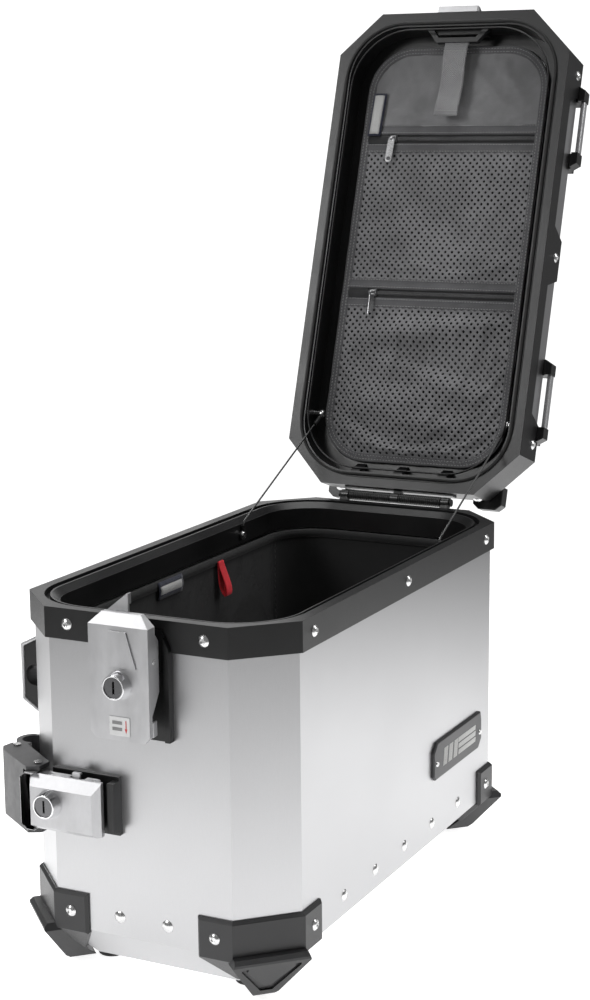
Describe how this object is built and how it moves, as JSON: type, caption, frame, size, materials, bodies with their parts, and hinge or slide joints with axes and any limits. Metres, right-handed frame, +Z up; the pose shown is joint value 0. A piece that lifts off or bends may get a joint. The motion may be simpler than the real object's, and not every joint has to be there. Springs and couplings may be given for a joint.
{
  "type": "motorcycle side case",
  "caption": "Octagonal aluminium side case with an end-hinged lid on stay cables, a rocker lid latch and a wrap-round carrier latch.",
  "frame": {"origin": "on the ground plane under the middle of the case body, at the foot of the rubber feet", "axes": "+Z up, +Y from the latch end to the hinge end, -X towards the motorcycle"},
  "size_m": [0.2789, 0.7329, 0.7876],
  "materials": {
    "case_aluminium": "fine brushed, clear anodised",
    "moulded_black": "fine moulded texture",
    "guard_black": "fine moulded texture",
    "rubber_black": "matte",
    "fastener_steel": "bright zinc",
    "black_steel": "black satin",
    "cable_steel": "coated wire rope",
    "latch_silver": "satin, bright edges",
    "lock_chrome": "polished",
    "lock_dark": "satin",
    "arm_black": "fine powder coat",
    "plate_black": "satin",
    "bag_fabric": "woven polyester",
    "loop_red": "woven ribbon",
    "panel_fabric": "woven polyester",
    "net_fabric": "air mesh",
    "zip_fabric": "tape weave",
    "slider_metal": "gloss black"
  },
  "bodies": {
    "case": {"wall_shell": "case_aluminium", "bottom_tray": "case_aluminium", "body_rim": "moulded_black", "case_screws": "fastener_steel", "wall_rivets": "fastener_steel", "corner_guard_front_left": "guard_black", "corner_guard_front_right": "guard_black", "corner_guard_rear_left": "guard_black", "corner_guard_rear_right": "guard_black", "corner_bumpers": "guard_black", "rubber_feet": "rubber_black", "inner_bag": "bag_fabric", "bag_pull_loop": "loop_red", "name_plate": "plate_black", "name_plate_screws": "fastener_steel", "hinge_case_leaf": "black_steel", "hinge_pin": "fastener_steel", "hinge_springs": "black_steel", "stay_cable_left": "cable_steel", "stay_cable_right": "cable_steel", "cable_anchors_case": "fastener_steel", "latch_base": "moulded_black", "latch_pin": "fastener_steel", "carrier_latch_base": "moulded_black", "carrier_latch_pins": "fastener_steel", "carrier_hook_front": "latch_silver", "carrier_hook_rear": "latch_silver", "carrier_hook_pads": "moulded_black"},
    "lid": {"lid_shell": "case_aluminium", "lid_frame": "moulded_black", "lid_gasket": "rubber_black", "lid_screws": "fastener_steel", "lashing_brackets": "moulded_black", "lashing_bars": "latch_silver", "lid_rear_bumpers": "moulded_black", "lid_keeper": "latch_silver", "hinge_lid_leaf": "black_steel", "cable_anchors_lid": "fastener_steel", "organiser_panel": "panel_fabric", "net_pocket_upper": "net_fabric", "net_pocket_lower": "net_fabric", "zip_upper": "zip_fabric", "zip_lower": "zip_fabric", "strap_bracket": "moulded_black", "webbing_strap": "zip_fabric"},
    "latch_rocker": {"latch_lever": "latch_silver", "latch_hook": "latch_silver", "latch_lock_barrel": "lock_chrome"},
    "latch_catch": {"latch_release": "latch_silver"},
    "latch_key": {"latch_lock_plug": "lock_dark"},
    "carrier_cover": {"carrier_lever": "latch_silver", "carrier_lock_barrel": "lock_chrome"},
    "carrier_catch": {"carrier_release": "latch_silver"},
    "carrier_key": {"carrier_lock_plug": "lock_dark"},
    "arm": {"carrier_arm": "arm_black", "carrier_edge_plate": "latch_silver", "carrier_jaw_pin": "fastener_steel"},
    "jaw": {"carrier_jaw": "arm_black"},
    "slider_upper": {"zip_slider_upper": "slider_metal"},
    "slider_lower": {"zip_slider_lower": "slider_metal"}
  },
  "joints": [
    {"name": "lid_hinge", "type": "hinge", "parent": "case", "child": "lid", "pos_m": [0, 0.252, 0.3113], "axis": [-1, 0, 0], "range_deg": [-108.4, 0], "deforming": ["stay_cable_left", "stay_cable_right"]},
    {"name": "latch_rock", "type": "hinge", "parent": "case", "child": "latch_rocker", "pos_m": [0, -0.2575, 0.279], "axis": [1, 0, 0], "range_deg": [-4, 8], "stiffness_Nm_per_rad": 0.4},
    {"name": "latch_catch_slide", "type": "slide", "parent": "latch_rocker", "child": "latch_catch", "axis": [0, 0, 1], "range_m": [0, 0.003], "stiffness_N_per_m": 200},
    {"name": "latch_key_turn", "type": "hinge", "parent": "latch_rocker", "child": "latch_key", "pos_m": [0, -0.266, 0.26], "axis": [0, -1, 0], "range_deg": [0, 90]},
    {"name": "carrier_cover_swing", "type": "hinge", "parent": "case", "child": "carrier_cover", "pos_m": [-0.033, -0.253, 0.153], "axis": [0, 0, 1], "range_deg": [0, 60]},
    {"name": "carrier_catch_slide", "type": "slide", "parent": "carrier_cover", "child": "carrier_catch", "axis": [1, 0, 0], "range_m": [0, 0.003], "stiffness_N_per_m": 200},
    {"name": "carrier_key_turn", "type": "hinge", "parent": "carrier_cover", "child": "carrier_key", "pos_m": [-0.069, -0.263, 0.154], "axis": [0, -1, 0], "range_deg": [0, 90]},
    {"name": "carrier_arm_swing", "type": "hinge", "parent": "case", "child": "arm", "pos_m": [-0.0885, -0.248, 0.153], "axis": [0, 0, 1], "range_deg": [0, 45]},
    {"name": "jaw_swing", "type": "hinge", "parent": "arm", "child": "jaw", "pos_m": [-0.1295, -0.217, 0.153], "axis": [0, 0, 1], "range_deg": [0, 25]},
    {"name": "zip_upper_slide", "type": "slide", "parent": "lid", "child": "slider_upper", "axis": [1, 0, 0], "range_m": [0, 0.14]},
    {"name": "zip_lower_slide", "type": "slide", "parent": "lid", "child": "slider_lower", "axis": [1, 0, 0], "range_m": [0, 0.14]}
  ],
  "couplings": [
    {"joint": "carrier_arm_swing", "follows": "carrier_cover_swing", "ratio": 0.75}
  ]
}
